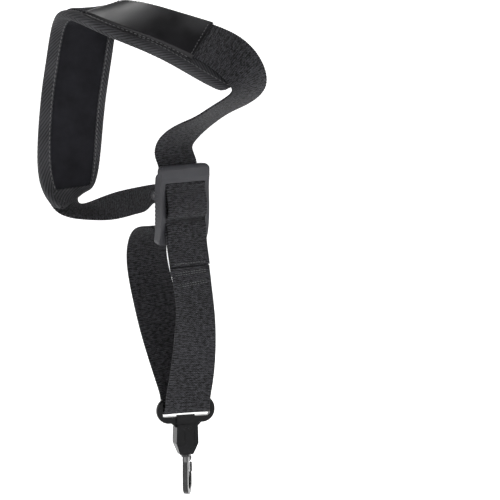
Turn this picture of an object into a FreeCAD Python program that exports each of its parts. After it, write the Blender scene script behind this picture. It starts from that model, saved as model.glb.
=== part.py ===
"""Saxophone neck strap: padded neck loop, strap slider, webbing loop and swivel snap hook.

Every solid is drawn about the middle of the slider, in millimetres, then moved so that the
frame's origin is the neck's resting point inside the pad. +Z is up along the hanging strap,
+Y goes away through the neck opening and +X runs across it.
"""
import FreeCAD, Part
import math
import os

V = FreeCAD.Vector

# frame
NECK_POINT = V(-62.0, -7.0, 147.9)     # neck's resting point, measured from the slider
SLIDER_AT = V(-3.6, 0.0, 0.0)
SLIDER_TURN = 36.87                    # degrees about Z, slider against the neck opening
RING_AT = V(-0.8, 2.0, 0.0)
RING_TURN = 19.0
HOOK_AT = V(-0.8, 2.0, 0.0)
HOOK_TURN = 80.5

# webbing
WEB_HALF = 18.9                        # half of the 38 mm webbing
WEB_T = 1.8
WEB_H0 = 0.95                          # webbing's inner face above the pad's route

# pad layers, as heights above the route
PAD_HALF = 25.0
COVER_T = 0.85
FOAM_TOP = -0.05
FOAM_BOTTOM = -6.6
LINING_BOTTOM = -7.5
BIND_LAP = 6.0                         # binding's lap on each face
BIND_T = 0.85
PATCH_T = 0.85

# route of the neck loop: x, y, z of the band's middle, then its width direction
ROUTE = [
    (-12.1, 11.3, 7.0, 0.80, 0.60, 0.00),
    (-16.5, 17, 7.0, 0.74, 0.62, 0.22),
    (-25, 24, 4.5, 0.42, 0.76, 0.56),
    (-38, 29, 1, 0.15, 0.86, 0.48),
    (-53, 31, -3, 0.00, 0.87, 0.50),
    (-66, 31, -6, 0.00, 0.90, 0.42),
    (-78, 31, -8, 0.00, 0.96, 0.25),
    (-88, 31, -9, 0.25, 0.95, 0.10),
    (-95, 31, -5, 0.50, 0.85, 0.00),
    (-97, 31, 4, 0.74, 0.67, 0.00),
    (-97, 30, 18, 0.90, 0.40, 0.00),
    (-95, 29, 40, 0.98, 0.18, 0.00),
    (-92.5, 28, 64, 1.00, 0.00, 0.00),
    (-90, 27, 88, 1.00, 0.00, 0.00),
    (-86, 25, 112, 1.00, 0.00, 0.00),
    (-83, 22, 134, 1.00, 0.05, 0.00),
    (-79, 11, 153, 1.00, 0.15, 0.00),
    (-68, -6, 157, 0.90, 0.42, 0.12),
    (-50, -16, 152, 0.65, 0.68, 0.28),
    (-28, -20, 145, 0.48, 0.76, 0.38),
    (-6, -21, 136, 0.42, 0.76, 0.46),
    (14, -24, 127, 0.45, 0.65, 0.58),
    (33, -27, 118, 0.58, 0.48, 0.64),
    (47, -27, 106, 0.67, 0.52, 0.50),
    (51, -23, 95, 0.85, 0.45, 0.30),
    (42, -18, 86, 0.75, 0.66, 0.00),
    (27, -13, 79, 0.25, 0.95, -0.25),
    (15, -7, 70, 0.15, 0.95, -0.30),
    (2, -2, 62, 0.35, 0.87, -0.35),
    (-9, 5, 52, 0.70, 0.68, -0.20),
    (-12.0, 8.4, 41.5, 0.80, 0.60, -0.05),
    (-7.2, 4.4, 32.5, 0.80, 0.60, 0.00),
    (-6.48, 3.84, 24, 0.80, 0.60, 0.00),
    (-6.48, 3.84, 15, 0.80, 0.60, 0.00),
    (-6.48, 3.84, 1, 0.80, 0.60, 0.00),
    (-6.48, 3.84, -13, 0.80, 0.60, 0.00),
]
# pad's half width at the stations it covers; the webbing alone runs on from either end
PAD_WIDTHS = {8: 19.5, 9: 22.5, 10: 24.5, 22: 24.5, 23: 21.0, 24: 19.0}
# spans along a route count stations from the second one
PAD_SPAN = (7.2, 22.2)
PATCH_SPAN = (15.9, 19.6)
RUN_START = 17.6                       # fixed and running webbing meet under the patch
WEB_SHIFT = {18: 1.0, 19: 2.5, 20: 4.0, 21: 5.0, 22: 3.5, 23: 1.0}
WEB_LIFT = {6: 0.2, 7: 0.5, 8: 0.6, 9: 0.6, 10: 0.4, 11: 0.15,
            21: 1.5, 22: 3.0, 23: 2.5, 24: 1.0}

# loop under the slider: y, z in the slider's own frame at the top, world below
LOOP_ROUTE = [
    (-5.34, 2.32, -15.5, 0.80, 0.60, 0.0),
    (-5.34, 2.32, -19.0, 0.80, 0.60, 0.0),
    (-6.2, 3.5, -22.4, 0.80, 0.60, 0.0),
    (-9.5, 7.9, -22.6, 0.80, 0.60, 0.0),
    (-15, 15, -20.5, 0.80, 0.60, 0.0),
    (-23, 25.5, -20.5, 0.80, 0.60, 0.0),
    (-30, 35, -26, 0.80, 0.60, 0.0),
    (-33, 39.5, -40, 0.83, 0.56, 0.0),
    (-31.5, 39, -58, 0.88, 0.48, 0.0),
    (-26.5, 34, -80, 0.93, 0.37, 0.0),
    (-21, 27, -101, 0.945, 0.326, 0.0),
    (-14.5, 19, -122, 0.945, 0.326, 0.0),
    (-7.5, 12, -141, 0.945, 0.326, 0.0),
    (-3.2, 8.9, -153, 0.945, 0.326, 0.0),
    (-2.6, 7.2, -161.0, 0.945, 0.326, 0.0),
    (-2.2, 6.1, -166.3, 0.945, 0.326, 0.0),
    (-1.5, 4.1, -169.0, 0.945, 0.326, 0.0),
    (-0.1, -0.1, -169.0, 0.945, 0.326, 0.0),
    (0.6, -2.1, -166.3, 0.945, 0.326, 0.0),
    (1.0, -3.3, -161.0, 0.945, 0.326, 0.0),
    (1.8, -4.4, -153, 0.945, 0.326, 0.0),
    (4.3, -7.5, -140, 0.935, 0.355, 0.0),
    (6.8, -11, -119, 0.90, 0.43, 0.0),
    (7.6, -13, -98, 0.83, 0.56, 0.0),
    (7.0, -13.2, -78, 0.76, 0.65, 0.0),
    (5.5, -12.6, -63, 0.77, 0.64, 0.0),
    (4.8, -11.7, -54.2, 0.79, 0.61, 0.0),
]

# slider, in its own frame: x across, y back, z up
SL_HALF = 23.6
SL_TOP = 32.0
SL_BOTTOM = -32.0
SL_FRONT = -5.5
SL_MID = -0.4                          # joint between front frame and rear shell
WIN_HALF = 19.35
WIN_TOP = 18.0
WIN_BOTTOM = -21.0
SHELL_HALF = 21.7
SHELL_TOP = 25.0
SHELL_BACK = 5.8
CHANNEL_BACK = 4.2
BAR_R = 1.5
CROSS_BAR = (-2.0, 14.0)
REAR_BAR = (8.2, 7.0)
RIBS = 9

# ring and swivel housing, in the ring's own frame
RING_OUT_W = 49.0
RING_TOP = -156.5
RING_LOW = -178.0
SLOT_HALF = 19.8
SLOT_TOP = -167.5
SLOT_LOW = -172.2
RING_T = 5.4
HOUSE_HALF = 8.9
HOUSE_T = 11.2
HOUSE_LOW = -203.6
BORE_R = 2.45
PIN_R = 2.40

# hook, in its own frame: x from shank to nose
HOOK_T = 4.2
SADDLE_R = 5.5
SADDLE = (7.7, -228.3)
SHANK = 4.4
NOSE = 4.0
GATE_PIVOT = (11.2, -208.6)
GATE_PIN_R = 0.9


def unit(v):
    w = V(v)
    w.normalize()
    return w


def frames(stations):
    """Middle, width direction and outward normal at every station."""
    mids = [V(*row[:3]) for row in stations]
    out = []
    for k, row in enumerate(stations):
        ahead = mids[min(k + 1, len(mids) - 1)]
        behind = mids[max(k - 1, 0)]
        along = unit(ahead - behind)
        wide = V(*row[3:])
        wide = unit(wide - along * wide.dot(along))
        out.append((mids[k], wide, along.cross(wide)))
    return out


def rail(stations, side, height, span):
    """Edge curve at a given sideways offset and height, between two station parameters."""
    poles = []
    for k, (mid, wide, normal) in enumerate(frames(stations)):
        s = side(k) if callable(side) else side
        h = height(k) if callable(height) else height
        poles.append(mid + wide * s + normal * h)
    n = len(poles)
    inner = n - 4
    knots = [float(i) for i in range(inner + 2)]
    mults = [4] + [1] * inner + [4]
    curve = Part.BSplineCurve()
    curve.buildFromPolesMultsKnots(poles, mults, knots, False, 3)
    if span:
        curve.segment(span[0], span[1])
    return curve.toShape()


def band(stations, section, span, caps):
    """Solid swept by a section of (side, height) corners; caps lists its end quads."""
    rails = [rail(stations, s, h, span) for s, h in section]
    faces = []
    for k, edge in enumerate(rails):
        faces.append(Part.makeRuledSurface(edge, rails[(k + 1) % len(rails)], 1))
    for end in (0, 1):
        tips = []
        for edge in rails:
            at = edge.LastParameter if end else edge.FirstParameter
            tips.append(edge.valueAt(at))
        for a, b, c, d in caps:
            first = Part.makeLine(tips[a], tips[b])
            second = Part.makeLine(tips[d], tips[c])
            faces.append(Part.makeRuledSurface(first, second, 1))
    shell = Part.makeShell(faces)
    shell.sewShape()
    solid = Part.makeSolid(shell)
    if solid.Volume < 0:
        solid.reverse()
    return solid


def strip(stations, half, low, high, span):
    """Flat band: half width and two heights."""
    left = (lambda k: -half(k)) if callable(half) else -half
    section = [(left, low), (half, low), (half, high), (left, high)]
    return band(stations, section, span, [(0, 1, 2, 3)])


def box(x0, x1, y0, y1, z0, z1):
    return Part.makeBox(x1 - x0, y1 - y0, z1 - z0, V(x0, y0, z0))


def rod(radius, start, end):
    line = V(*end) - V(*start)
    return Part.makeCylinder(radius, line.Length, V(*start), line)


def outline_xz(points, y0, y1):
    """Prism across Y from a closed outline of (x, z) points."""
    wire = Part.makePolygon([V(x, y0, z) for x, z in points + points[:1]])
    return Part.Face(wire).extrude(V(0, y1 - y0, 0))


def profile_yz(front, back, x0, x1):
    """Prism across X between a front and a back curve, each given top to bottom."""
    ends = []
    for line in (front, back):
        curve = Part.BSplineCurve()
        curve.interpolate([V(x0, y, z) for y, z in line])
        ends.append(curve.toShape())
    top = Part.makeLine(V(x0, *front[0]), V(x0, *back[0]))
    low = Part.makeLine(V(x0, *front[-1]), V(x0, *back[-1]))
    wire = Part.Wire(Part.__sortEdges__([ends[0], low, ends[1], top]))
    return Part.Face(wire).extrude(V(x1 - x0, 0, 0))


def round_plate(half, low, high, y0, y1, radius):
    """Rounded plate in the XZ plane."""
    plate = box(-half, half, y0, y1, low, high)
    edges = [e for e in plate.Edges if abs(e.tangentAt(e.FirstParameter).y) > 0.9]
    return plate.makeFillet(radius, edges)


def turned(shape, at, degrees):
    out = shape.copy()
    out.rotate(V(0, 0, 0), V(0, 0, 1), degrees)
    out.translate(at)
    return out


def pad_half(k):
    return PAD_WIDTHS.get(k, PAD_HALF if 10 < k < 22 else 19.0)


def pad_parts():
    def inset(k):
        return pad_half(k) - 0.1

    def between(k):
        return pad_half(k) - BIND_LAP - 0.2

    span = PAD_SPAN
    foam = strip(ROUTE, inset, FOAM_BOTTOM, FOAM_TOP, span)
    cover = strip(ROUTE, between, 0.0, COVER_T, span)
    lining = strip(ROUTE, between, LINING_BOTTOM, FOAM_BOTTOM - 0.05, span)
    out = {"pad_foam_core": foam, "pad_outer_cover": cover, "pad_lining": lining}
    for name, sign in (("binding_lower_edge", -1), ("binding_upper_edge", 1)):
        def lap(k, g=sign):
            return g * (pad_half(k) - BIND_LAP)

        def edge(k, g=sign):
            return g * pad_half(k)

        def outer(k, g=sign):
            return g * (pad_half(k) + BIND_T)

        section = [(lap, BIND_T), (outer, BIND_T), (outer, LINING_BOTTOM), (lap, LINING_BOTTOM),
                   (lap, FOAM_BOTTOM - 0.05), (edge, FOAM_BOTTOM - 0.05), (edge, 0.0), (lap, 0.0)]
        caps = [(0, 1, 6, 7), (1, 2, 5, 6), (2, 3, 4, 5)]
        out[name] = band(ROUTE, section, span, caps)
    low = WEB_H0
    high = WEB_H0 + WEB_T + 0.1
    across = (-21.3, -20.0, 20.0, 21.3, 20.3, 19.1, -19.1, -20.3)
    tops = (low, high + PATCH_T, high + PATCH_T, low, low, high, high, low)
    section = []
    for s, h in zip(across, tops):
        section.append((lambda k, a=s: a + WEB_SHIFT.get(k, 0.0), lambda k, b=h: b + lift(k, b)))
    caps = [(0, 1, 6, 7), (1, 2, 5, 6), (2, 3, 4, 5)]
    out["leather_patch"] = band(ROUTE, section, PATCH_SPAN, caps)
    return out


def lift(k, height):
    """The webbing and the patch's top stand off the pad near its right end."""
    return WEB_LIFT.get(k, 0.0) if height > WEB_H0 + 0.1 else 0.0


def webbing_parts():
    last = float(len(ROUTE) - 3)
    section = []
    for s, h in ((-1, 0.0), (1, 0.0), (1, WEB_T), (-1, WEB_T)):
        section.append((lambda k, g=s: g * WEB_HALF + WEB_SHIFT.get(k, 0.0),
                        lambda k, b=h: WEB_H0 + b + WEB_LIFT.get(k, 0.0)))
    cap = [(0, 1, 2, 3)]
    out = {}
    out["fixed_webbing"] = band(ROUTE, section, (0.0, RUN_START), cap)
    out["running_webbing_neck"] = band(ROUTE, section, (RUN_START + 0.05, last), cap)
    half = WEB_T / 2
    out["running_webbing_loop"] = strip(LOOP_ROUTE, WEB_HALF, -half, half, None)
    return out


def wrapped(path, half, thick):
    """Webbing of even thickness along a (y, z) path of straight and curved runs."""
    curve = Part.BSplineCurve()
    poles = [V(0, y, z) for y, z in path]
    inner = len(poles) - 4
    knots = [float(i) for i in range(inner + 2)]
    curve.buildFromPolesMultsKnots(poles, [4] + [1] * inner + [4], knots, False, 3)
    count = 6 * len(path)
    sides = ([], [])
    for i in range(count + 1):
        t = curve.FirstParameter + (curve.LastParameter - curve.FirstParameter) * i / count
        along = unit(V(*curve.tangent(t)[0]))
        off = along.cross(V(1, 0, 0)) * (thick / 2)
        sides[0].append(curve.value(t) + off - V(half, 0, 0))
        sides[1].append(curve.value(t) - off - V(half, 0, 0))
    edges = []
    for line in sides:
        spline = Part.BSplineCurve()
        spline.interpolate(line)
        edges.append(spline.toShape())
    start = Part.makeLine(sides[0][0], sides[1][0])
    finish = Part.makeLine(sides[0][-1], sides[1][-1])
    wire = Part.Wire([edges[0], finish, edges[1].reversed(), start])
    return Part.Face(wire).extrude(V(2 * half, 0, 0))


def slider_parts():
    out = {}
    # front frame: rounded plate, window, lower bar set back, sides curving back at the foot
    front = round_plate(SL_HALF, SL_BOTTOM, SL_TOP, -6.0, 5.0, 4.5)
    side = profile_yz([(-4.4, 32.0), (-5.5, 30.0), (-5.5, 18.0), (-5.5, 2.0), (-5.4, -12.0),
                       (-4.2, -22.0), (-0.8, -32.0)],
                      [(-0.4, 32.0), (-0.4, 18.0), (-0.4, 2.0), (-0.2, -12.0), (0.9, -22.0),
                       (3.6, -32.0)], -30, 30)
    frame = front.common(side)
    window = box(-WIN_HALF, WIN_HALF, -9, 9, WIN_BOTTOM, WIN_TOP)
    corner = [e for e in window.Edges if abs(e.tangentAt(e.FirstParameter).y) > 0.9]
    frame = frame.cut(window.makeFillet(1.0, corner))
    bar_y, bar_z = CROSS_BAR
    recess = box(-WIN_HALF, WIN_HALF, -9, -3.3, -40, WIN_BOTTOM + 2)
    frame = frame.cut(recess)
    cavity = box(-WIN_HALF, WIN_HALF, -3.4, 2, WIN_TOP - 2, 27.0)
    frame = frame.cut(cavity)
    bore = rod(BAR_R + 0.03, (-SL_HALF + 1.6, bar_y, bar_z), (SL_HALF - 1.6, bar_y, bar_z))
    out["slider_front_frame"] = frame.cut(bore)
    out["slider_cross_bar"] = rod(BAR_R, (-SL_HALF + 1.7, bar_y, bar_z),
                                  (SL_HALF - 1.7, bar_y, bar_z))
    # rear shell: channel for the running strand, side grips, ears for the rear bar
    shell = round_plate(SHELL_HALF, SL_BOTTOM + 1.0, SHELL_TOP, -3.0, 12.0, 3.0)
    back = profile_yz([(-0.35, 32.0), (-0.35, 18.0), (-0.35, 2.0), (-0.15, -12.0),
                       (0.95, -22.0), (3.65, -32.0)],
                      [(3.6, 32.0), (4.8, 25.0), (SHELL_BACK, 17.0), (SHELL_BACK, 2.0),
                       (SHELL_BACK, -14.0), (6.6, -24.0), (8.4, -32.0)], -30, 30)
    shell = shell.common(back)
    shell = shell.cut(box(-19.5, 19.5, -4, CHANNEL_BACK, -27.0, 40))
    shell = shell.cut(box(-19.5, 19.5, 0, 20, -27.0, -12.6))
    shell = shell.cut(box(-19.5, 19.5, 0, 20, 1.8, 12.4))
    step = (26.0) / (RIBS - 1)
    for i in range(RIBS):
        z = 8.5 - i * step
        for x in (-1, 1):
            x0 = x * (SHELL_HALF - 0.5)
            x1 = x * (SHELL_HALF + 0.8)
            rib = box(min(x0, x1), max(x0, x1), 0.4, SHELL_BACK - 0.5, z - 0.75, z + 0.75)
            shell = shell.fuse(rib)
    by, bz = REAR_BAR
    for x0, x1 in ((-21.4, -19.5), (19.5, 21.4)):
        ear = box(x0, x1, CHANNEL_BACK - 0.8, by, bz - 3.2, bz + 3.2)
        ear = ear.fuse(rod(3.2, (x0, by, bz), (x1, by, bz)))
        shell = shell.fuse(ear)
    shell = shell.cut(rod(BAR_R + 0.03, (-30, by, bz), (30, by, bz)))
    out["slider_rear_shell"] = shell.removeSplitter()
    out["slider_rear_bar"] = rod(BAR_R, (-21.3, by, bz), (21.3, by, bz))
    # fixed webbing's end round the rear bar, both plies leading back
    gap = BAR_R + 0.15
    mid = gap + WEB_T / 2
    ring = rod(gap + WEB_T, (-WEB_HALF, by, bz), (WEB_HALF, by, bz))
    ring = ring.fuse(box(-WEB_HALF, WEB_HALF, by, by + 5.2, bz - gap - WEB_T, bz - 0.1))
    ring = ring.cut(rod(gap, (-30, by, bz), (30, by, bz)))
    out["fixed_webbing_anchor"] = ring
    # running webbing's sewn end: front ply, wrap over the cross bar, tail ply behind
    r = mid + 0.55
    ply = [(-12.2, -48.0), (-11.2, -43.5), (-9.3, -36.0), (-7.6, -28.0), (-7.0, -21.0),
           (-7.5, -12.0), (-6.9, -2.0), (-5.6, 7.0), (bar_y - r, bar_z - 1.0),
           (bar_y - r, bar_z + r), (bar_y + r, bar_z + r), (bar_y + r, bar_z - 2.5),
           (-1.6, 5.5), (-4.4, -2.5), (-5.4, -12.0), (-4.9, -21.0), (-5.5, -28.0),
           (-7.2, -36.0), (-9.0, -43.0), (-10.6, -49.5), (-12.1, -56.0)]
    out["running_webbing_end"] = wrapped(ply, WEB_HALF, WEB_T)
    return {name: turned(shape, SLIDER_AT, SLIDER_TURN) for name, shape in out.items()}


def ring_parts():
    ring = round_plate(RING_OUT_W / 2, RING_LOW, RING_TOP, -RING_T / 2, RING_T / 2, 10.4)
    ring = ring.makeFillet(1.9, [e for e in ring.Edges if abs(e.BoundBox.YLength) < 0.01])
    slot = box(-SLOT_HALF, SLOT_HALF, -9, 9, SLOT_LOW, SLOT_TOP)
    edges = [e for e in slot.Edges if abs(e.tangentAt(e.FirstParameter).y) > 0.9]
    ring = ring.cut(slot.makeFillet(1.2, edges))
    # top bar is a round rod where the webbing goes round it
    over = box(-SLOT_HALF, SLOT_HALF, -9, 9, SLOT_TOP - 0.1, RING_TOP + 1)
    keep = rod(RING_T / 2, (-25, 0, SLOT_TOP + RING_T / 2), (25, 0, SLOT_TOP + RING_T / 2))
    ring = ring.cut(over.cut(keep))
    z0 = RING_LOW
    boss = outline_xz([(-14.5, z0 + 2.4), (14.5, z0 + 2.4), (HOUSE_HALF, z0 - 3.2),
                       (-HOUSE_HALF, z0 - 3.2)], -RING_T / 2, RING_T / 2)
    body = outline_xz([(-HOUSE_HALF + 1.0, z0 - 0.6), (HOUSE_HALF - 1.0, z0 - 0.6),
                       (HOUSE_HALF, z0 - 2.6), (HOUSE_HALF + 0.4, -194.0),
                       (5.6, HOUSE_LOW), (-5.6, HOUSE_LOW), (-HOUSE_HALF - 0.4, -194.0),
                       (-HOUSE_HALF, z0 - 2.6)], -HOUSE_T / 2, HOUSE_T / 2)
    flat = [e for e in body.Edges if abs(e.tangentAt(e.FirstParameter).y) > 0.9]
    body = body.makeFillet(0.9, flat)
    wedge = outline_xz([(-20, z0), (20, z0), (20, -210), (-20, -210)], -9, 9)
    lean = Part.makeCylinder(30, 60, V(-30, -24.6, -192), V(1, 0, 0))
    lean = lean.common(Part.makeCylinder(30, 60, V(-30, 24.6, -192), V(1, 0, 0)))
    body = body.common(wedge.common(lean)).fuse(body.common(box(-20, 20, -9, 9, -192, -170)))
    housing = ring.fuse(boss).fuse(body)
    # front lip over the slot, relief on the front face, the swivel's button cavity and bore
    housing = housing.fuse(outline_xz([(-8.6, -170.6), (6.4, -170.6), (7.6, -180.0),
                                       (-8.8, -180.0)], -4.4, -2.5))
    face = -HOUSE_T / 2
    for x, low, high, half in ((-4.4, -195.6, -183.6, 2.3), (2.9, -197.4, -182.6, 3.3)):
        pocket = round_plate(half, low, high, face - 3.0, face + 0.55, half - 0.3)
        pocket.translate(V(x, 0, 0))
        housing = housing.cut(pocket)
    housing = housing.cut(rod(4.1, (0, 0, -193.8), (0, 0, -189.0)))
    housing = housing.cut(rod(BORE_R, (0, 0, -210), (0, 0, -190)))
    return {"ring_housing": turned(housing.removeSplitter(), RING_AT, RING_TURN)}


def hook_parts():
    cx, cz = SADDLE
    out_r = SADDLE_R + SHANK - 0.2
    left = cx - SADDLE_R - SHANK + 0.1
    half = HOOK_T / 2

    def disc(radius, x, z):
        return rod(radius, (x, -half, z), (x, half, z))

    body = disc(out_r, cx, cz).cut(box(-20, 40, -9, 9, cz, cz + 30))
    top = HOUSE_LOW - 0.6
    shank = box(left, cx - SADDLE_R, -half, half, cz, top)
    nose = outline_xz([(cx + SADDLE_R, cz), (cx + out_r, cz), (cx + out_r - 0.5, cz + 4.6),
                       (cx + SADDLE_R + 1.6, cz + 8.0), (cx + SADDLE_R + 0.2, cz + 7.2)],
                      -half, half)
    arm = outline_xz([(left, top), (6.5, top), (13.0, -206.0), (13.8, -208.0), (12.6, -211.0),
                      (10.2, -211.2), (6.6, -209.2), (cx - SADDLE_R, -213.5),
                      (left, -213.5)], -half, half)
    body = body.fuse(shank).fuse(nose).fuse(arm)
    body = body.cut(disc(SADDLE_R, cx, cz))
    px, pz = GATE_PIVOT
    body = body.cut(box(8.4, 20, -1.25, 1.25, -214, pz + 2.4))
    body = body.cut(rod(GATE_PIN_R + 0.02, (px, -9, pz), (px, 9, pz)))
    collar = rod(3.6, (0, 0, top - 1.4), (0, 0, top))
    body = body.fuse(collar).removeSplitter()
    body = body.cut(rod(PIN_R + 0.01, (0, 0, top - 6.0), (0, 0, top + 5)))
    out = {"hook_body": body}
    pin = rod(PIN_R, (0, 0, top - 5.9), (0, 0, -193.0)).fuse(
        rod(3.9, (0, 0, -193.7), (0, 0, -191.6)))
    out["swivel_pin"] = pin.removeSplitter()
    wide = 1.1
    gate = outline_xz([(px - 1.1, pz), (px + 1.3, pz), (px + 1.9, cz + 9.0), (px + 1.8, cz + 4.2),
                       (px + 0.2, cz + 4.2)], -wide, wide)
    gate = gate.fuse(rod(2.0, (px, -wide, pz), (px, wide, pz)))
    thumb = outline_xz([(px + 0.4, pz - 3.6), (px + 3.4, pz - 3.4), (px + 5.4, pz - 4.8),
                        (px + 5.8, pz - 6.6), (px + 5.0, pz - 8.6), (px + 1.2, pz - 11.6)],
                       -3.1, 3.1)
    gate = gate.fuse(thumb).removeSplitter()
    gate = gate.cut(rod(GATE_PIN_R + 0.05, (px, -9, pz), (px, 9, pz)))
    out["gate"] = gate
    pin = rod(GATE_PIN_R, (px, -half - 0.1, pz), (px, half + 0.1, pz))
    for y0, y1 in ((-half - 0.55, -half - 0.05), (half + 0.05, half + 0.55)):
        pin = pin.fuse(rod(1.5, (px, y0, pz), (px, y1, pz)))
    out["gate_pin"] = pin.removeSplitter()
    return {name: turned(shape, HOOK_AT, HOOK_TURN) for name, shape in out.items()}


def save(shapes):
    os.makedirs("parts", exist_ok=True)
    for name, shape in shapes.items():
        placed = shape.copy()
        placed.translate(NECK_POINT * -1.0)
        if not placed.isValid():
            print("not valid:", name)
        placed.exportStep("parts/%s.step" % name)
        box_ = placed.BoundBox
        print("%-24s %9.1f mm3  %s" % (name, placed.Volume, box_))


shapes = {}
shapes.update(pad_parts())
shapes.update(webbing_parts())
shapes.update(slider_parts())
shapes.update(ring_parts())
shapes.update(hook_parts())
save(shapes)
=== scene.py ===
"""Saxophone neck strap: the looks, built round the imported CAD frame.

Routes are given in millimetres about the slider's middle, as the design draws them, and
to_row() turns them into the frame's metres.
"""

import math

import bmesh
import bpy
import numpy as np
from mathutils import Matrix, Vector


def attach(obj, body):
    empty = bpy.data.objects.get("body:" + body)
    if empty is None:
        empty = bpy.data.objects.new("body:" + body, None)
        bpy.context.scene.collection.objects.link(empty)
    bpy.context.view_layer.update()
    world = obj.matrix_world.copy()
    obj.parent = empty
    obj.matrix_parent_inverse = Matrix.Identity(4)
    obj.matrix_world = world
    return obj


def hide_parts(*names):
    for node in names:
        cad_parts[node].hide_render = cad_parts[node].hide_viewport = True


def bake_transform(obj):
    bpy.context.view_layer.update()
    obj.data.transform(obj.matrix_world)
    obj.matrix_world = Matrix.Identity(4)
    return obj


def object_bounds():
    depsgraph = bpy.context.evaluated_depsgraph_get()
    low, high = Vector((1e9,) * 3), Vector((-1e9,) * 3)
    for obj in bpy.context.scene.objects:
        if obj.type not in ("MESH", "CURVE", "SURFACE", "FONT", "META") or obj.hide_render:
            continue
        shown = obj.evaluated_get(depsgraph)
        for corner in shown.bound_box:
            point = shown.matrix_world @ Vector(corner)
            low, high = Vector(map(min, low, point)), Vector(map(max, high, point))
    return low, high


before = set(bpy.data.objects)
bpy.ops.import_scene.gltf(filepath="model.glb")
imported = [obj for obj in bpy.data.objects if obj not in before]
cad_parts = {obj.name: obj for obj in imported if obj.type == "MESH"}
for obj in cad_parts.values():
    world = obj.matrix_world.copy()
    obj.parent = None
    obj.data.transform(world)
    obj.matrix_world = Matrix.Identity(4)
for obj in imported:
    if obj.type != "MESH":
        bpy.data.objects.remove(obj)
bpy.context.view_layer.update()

MM = 0.001
NECK_POINT = np.array([-62.0, -7.0, 147.9])
SLIDER_AT = np.array([-3.6, 0.0, 0.0])
SLIDER_X = np.array([0.8, 0.6, 0.0])
SLIDER_Y = np.array([-0.6, 0.8, 0.0])

# x, y, z of the band's middle, then its width direction, from the slider's rear bar round the neck
NECK_ROUTE = [
    (-12.1, 11.3, 7.0, 0.80, 0.60, 0.00),
    (-16.5, 17, 7.0, 0.74, 0.62, 0.22),
    (-25, 24, 4.5, 0.42, 0.76, 0.56),
    (-38, 29, 1, 0.15, 0.86, 0.48),
    (-53, 31, -3, 0.00, 0.87, 0.50),
    (-66, 31, -6, 0.00, 0.90, 0.42),
    (-78, 31, -8, 0.00, 0.96, 0.25),
    (-88, 31, -9, 0.25, 0.95, 0.10),
    (-95, 31, -5, 0.50, 0.85, 0.00),
    (-97, 31, 4, 0.74, 0.67, 0.00),
    (-97, 30, 18, 0.90, 0.40, 0.00),
    (-95, 29, 40, 0.98, 0.18, 0.00),
    (-92.5, 28, 64, 1.00, 0.00, 0.00),
    (-90, 27, 88, 1.00, 0.00, 0.00),
    (-86, 25, 112, 1.00, 0.00, 0.00),
    (-83, 22, 134, 1.00, 0.05, 0.00),
    (-79, 11, 153, 1.00, 0.15, 0.00),
    (-68, -6, 157, 0.90, 0.42, 0.12),
    (-50, -16, 152, 0.65, 0.68, 0.28),
    (-28, -20, 145, 0.48, 0.76, 0.38),
    (-6, -21, 136, 0.42, 0.76, 0.46),
    (14, -24, 127, 0.45, 0.65, 0.58),
    (33, -27, 118, 0.58, 0.48, 0.64),
    (47, -27, 106, 0.67, 0.52, 0.50),
    (51, -23, 95, 0.85, 0.45, 0.30),
    (42, -18, 86, 0.75, 0.66, 0.00),
    (27, -13, 79, 0.25, 0.95, -0.25),
    (15, -7, 70, 0.15, 0.95, -0.30),
    (2, -2, 62, 0.35, 0.87, -0.35),
    (-9, 5, 52, 0.70, 0.68, -0.20),
    (-12.0, 8.4, 41.5, 0.80, 0.60, -0.05),
    (-7.2, 4.4, 32.5, 0.80, 0.60, 0.00),
    (-6.48, 3.84, 24, 0.80, 0.60, 0.00),
    (-6.48, 3.84, 15, 0.80, 0.60, 0.00),
    (-6.48, 3.84, 1, 0.80, 0.60, 0.00),
    (-6.48, 3.84, -13, 0.80, 0.60, 0.00),
]
LOOP_ROUTE = [
    (-5.34, 2.32, -15.5, 0.80, 0.60, 0.0),
    (-5.34, 2.32, -19.0, 0.80, 0.60, 0.0),
    (-6.2, 3.5, -22.4, 0.80, 0.60, 0.0),
    (-9.5, 7.9, -22.6, 0.80, 0.60, 0.0),
    (-15, 15, -20.5, 0.80, 0.60, 0.0),
    (-23, 25.5, -20.5, 0.80, 0.60, 0.0),
    (-30, 35, -26, 0.80, 0.60, 0.0),
    (-33, 39.5, -40, 0.83, 0.56, 0.0),
    (-31.5, 39, -58, 0.88, 0.48, 0.0),
    (-26.5, 34, -80, 0.93, 0.37, 0.0),
    (-21, 27, -101, 0.945, 0.326, 0.0),
    (-14.5, 19, -122, 0.945, 0.326, 0.0),
    (-7.5, 12, -141, 0.945, 0.326, 0.0),
    (-3.2, 8.9, -153, 0.945, 0.326, 0.0),
    (-2.6, 7.2, -161.0, 0.945, 0.326, 0.0),
    (-2.2, 6.1, -166.3, 0.945, 0.326, 0.0),
    (-1.5, 4.1, -169.0, 0.945, 0.326, 0.0),
    (-0.1, -0.1, -169.0, 0.945, 0.326, 0.0),
    (0.6, -2.1, -166.3, 0.945, 0.326, 0.0),
    (1.0, -3.3, -161.0, 0.945, 0.326, 0.0),
    (1.8, -4.4, -153, 0.945, 0.326, 0.0),
    (4.3, -7.5, -140, 0.935, 0.355, 0.0),
    (6.8, -11, -119, 0.90, 0.43, 0.0),
    (7.6, -13, -98, 0.83, 0.56, 0.0),
    (7.0, -13.2, -78, 0.76, 0.65, 0.0),
    (5.1, -12.6, -63, 0.78, 0.63, 0.0),
    (3.8, -11.7, -54.2, 0.80, 0.60, 0.0),
    (3.4, -11.2, -49.3, 0.80, 0.60, 0.0),
]
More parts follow.
